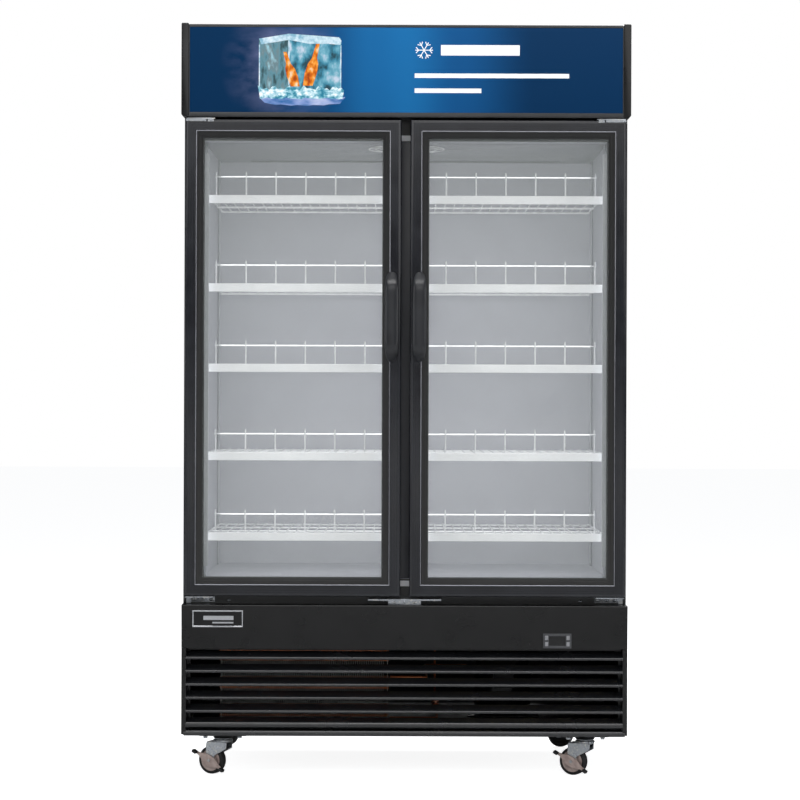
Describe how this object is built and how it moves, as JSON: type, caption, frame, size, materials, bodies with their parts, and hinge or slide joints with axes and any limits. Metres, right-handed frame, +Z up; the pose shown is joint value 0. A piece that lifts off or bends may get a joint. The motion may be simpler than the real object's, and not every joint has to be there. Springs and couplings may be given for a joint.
{
  "type": "glass door merchandiser",
  "caption": "Upright refrigerated display cabinet with glass doors, wire shelves, a lit header sign panel, a louvred lower front and swivel casters.",
  "frame": {"origin": "on the floor, under the middle of the whole bounding box", "axes": "+Z up, -Y out of the front towards the person who opens the doors, +X towards the right-hand door"},
  "size_m": [1.2, 0.775, 2.015],
  "materials": {
    "black_steel": "semi-gloss black powder coat",
    "foam": "matt",
    "liner": "white enamel, satin",
    "header_black": "satin dark grey anodised",
    "sign": "gloss blue",
    "pilaster": "satin",
    "shelf_white": "white epoxy coat",
    "zinc": "zinc plated",
    "door_black": "satin black",
    "glass": "clear",
    "gasket": "matt black",
    "handle_black": "matt black",
    "fascia_black": "satin black",
    "wheel": "matt black tyre",
    "brake": "matt black tips",
    "compressor": "gloss black",
    "copper": "coppery finned block",
    "fan": "matt black",
    "evap": "finned block",
    "cover": "grey enamel",
    "controller": "grey bezel",
    "key": "grey"
  },
  "bodies": {
    "cabinet": {"base_frame": "black_steel", "centre_bracket": "zinc", "compressor": "compressor", "condenser_coil": "copper", "controller": "controller", "evaporator_coil": "evap", "evaporator_cover": "cover", "fascia_panel": "fascia_black", "header_end_cap_left": "header_black", "header_end_cap_right": "header_black", "header_frame": "header_black", "hinge_bottom_left": "zinc", "hinge_bottom_right": "zinc", "hinge_top_left": "zinc", "hinge_top_right": "zinc", "inner_liner": "liner", "insulation_foam": "foam", "louvre_grille": "fascia_black", "mullion": "black_steel", "outer_cabinet": "black_steel", "pilaster_centre_rear": "pilaster", "pilaster_left_front": "pilaster", "pilaster_left_rear": "pilaster", "pilaster_right_front": "pilaster", "pilaster_right_rear": "pilaster", "shelf_left_1": "shelf_white", "shelf_left_2": "shelf_white", "shelf_left_3": "shelf_white", "shelf_left_4": "shelf_white", "shelf_left_5": "shelf_white", "shelf_right_1": "shelf_white", "shelf_right_2": "shelf_white", "shelf_right_3": "shelf_white", "shelf_right_4": "shelf_white", "shelf_right_5": "shelf_white", "sign_panel": "sign"},
    "left_door": {"left_door_frame": "door_black", "left_door_glass": "glass", "left_door_gasket": "gasket", "left_door_handle": "handle_black"},
    "right_door": {"right_door_frame": "door_black", "right_door_glass": "glass", "right_door_gasket": "gasket", "right_door_handle": "handle_black"},
    "caster_front_left": {"caster_fork_front_left": "zinc"},
    "wheel_front_left": {"caster_wheel_front_left": "wheel"},
    "caster_front_right": {"caster_fork_front_right": "zinc"},
    "wheel_front_right": {"caster_wheel_front_right": "wheel"},
    "caster_rear_left": {"caster_fork_rear_left": "zinc"},
    "wheel_rear_left": {"caster_wheel_rear_left": "wheel"},
    "caster_rear_right": {"caster_fork_rear_right": "zinc"},
    "wheel_rear_right": {"caster_wheel_rear_right": "wheel"},
    "brake_front_left": {"brake_pedal_front_left": "brake"},
    "brake_front_right": {"brake_pedal_front_right": "brake"},
    "condenser_fan": {"condenser_fan": "fan"},
    "evaporator_fan": {"evaporator_fan": "fan"},
    "key_upper_left": {"key_upper_left": "key"},
    "key_upper_right": {"key_upper_right": "key"},
    "key_lower_left": {"key_lower_left": "key"},
    "key_lower_right": {"key_lower_right": "key"}
  },
  "joints": [
    {"name": "left_door_hinge", "type": "hinge", "parent": "cabinet", "child": "left_door", "pos_m": [-0.571, -0.324, 1.12225], "axis": [0, 0, -1], "range_deg": [0, 105]},
    {"name": "right_door_hinge", "type": "hinge", "parent": "cabinet", "child": "right_door", "pos_m": [0.571, -0.324, 1.12225], "axis": [0, 0, 1], "range_deg": [0, 105]},
    {"name": "front_left_swivel", "type": "hinge", "parent": "cabinet", "child": "caster_front_left", "pos_m": [-0.488, -0.2659, 0.095], "axis": [0, 0, 1], "continuous": true},
    {"name": "front_left_roll", "type": "hinge", "parent": "caster_front_left", "child": "wheel_front_left", "pos_m": [-0.5174, -0.25092, 0.0375], "axis": [-0.454, -0.891, 0], "continuous": true},
    {"name": "brake_left_rock", "type": "hinge", "parent": "caster_front_left", "child": "brake_front_left", "pos_m": [-0.5174, -0.25092, 0.0375], "axis": [-0.454, -0.891, 0], "range_deg": [0, 26]},
    {"name": "front_right_swivel", "type": "hinge", "parent": "cabinet", "child": "caster_front_right", "pos_m": [0.488, -0.2659, 0.095], "axis": [0, 0, 1], "continuous": true},
    {"name": "front_right_roll", "type": "hinge", "parent": "caster_front_right", "child": "wheel_front_right", "pos_m": [0.4586, -0.25092, 0.0375], "axis": [-0.454, -0.891, 0], "continuous": true},
    {"name": "brake_right_rock", "type": "hinge", "parent": "caster_front_right", "child": "brake_front_right", "pos_m": [0.4586, -0.25092, 0.0375], "axis": [-0.454, -0.891, 0], "range_deg": [0, 26]},
    {"name": "rear_left_swivel", "type": "hinge", "parent": "cabinet", "child": "caster_rear_left", "pos_m": [-0.488, 0.2775, 0.095], "axis": [0, 0, 1], "continuous": true},
    {"name": "rear_left_roll", "type": "hinge", "parent": "caster_rear_left", "child": "wheel_rear_left", "pos_m": [-0.5174, 0.29248, 0.0375], "axis": [-0.454, -0.891, 0], "continuous": true},
    {"name": "rear_right_swivel", "type": "hinge", "parent": "cabinet", "child": "caster_rear_right", "pos_m": [0.488, 0.2775, 0.095], "axis": [0, 0, 1], "continuous": true},
    {"name": "rear_right_roll", "type": "hinge", "parent": "caster_rear_right", "child": "wheel_rear_right", "pos_m": [0.4586, 0.29248, 0.0375], "axis": [-0.454, -0.891, 0], "continuous": true},
    {"name": "condenser_fan_spin", "type": "hinge", "parent": "cabinet", "child": "condenser_fan", "pos_m": [-0.27, -0.1774, 0.2553], "axis": [0, 1, 0], "continuous": true},
    {"name": "evaporator_fan_spin", "type": "hinge", "parent": "cabinet", "child": "evaporator_fan", "pos_m": [0, -0.1001, 1.7366], "axis": [0, 0, 1], "continuous": true},
    {"name": "press_upper_left", "type": "slide", "parent": "cabinet", "child": "key_upper_left", "axis": [0, 1, 0], "range_m": [0, 0.0008], "stiffness_N_per_m": 400, "springref_m": -0.0005},
    {"name": "press_upper_right", "type": "slide", "parent": "cabinet", "child": "key_upper_right", "axis": [0, 1, 0], "range_m": [0, 0.0008], "stiffness_N_per_m": 400, "springref_m": -0.0005},
    {"name": "press_lower_left", "type": "slide", "parent": "cabinet", "child": "key_lower_left", "axis": [0, 1, 0], "range_m": [0, 0.0008], "stiffness_N_per_m": 400, "springref_m": -0.0005},
    {"name": "press_lower_right", "type": "slide", "parent": "cabinet", "child": "key_lower_right", "axis": [0, 1, 0], "range_m": [0, 0.0008], "stiffness_N_per_m": 400, "springref_m": -0.0005}
  ]
}
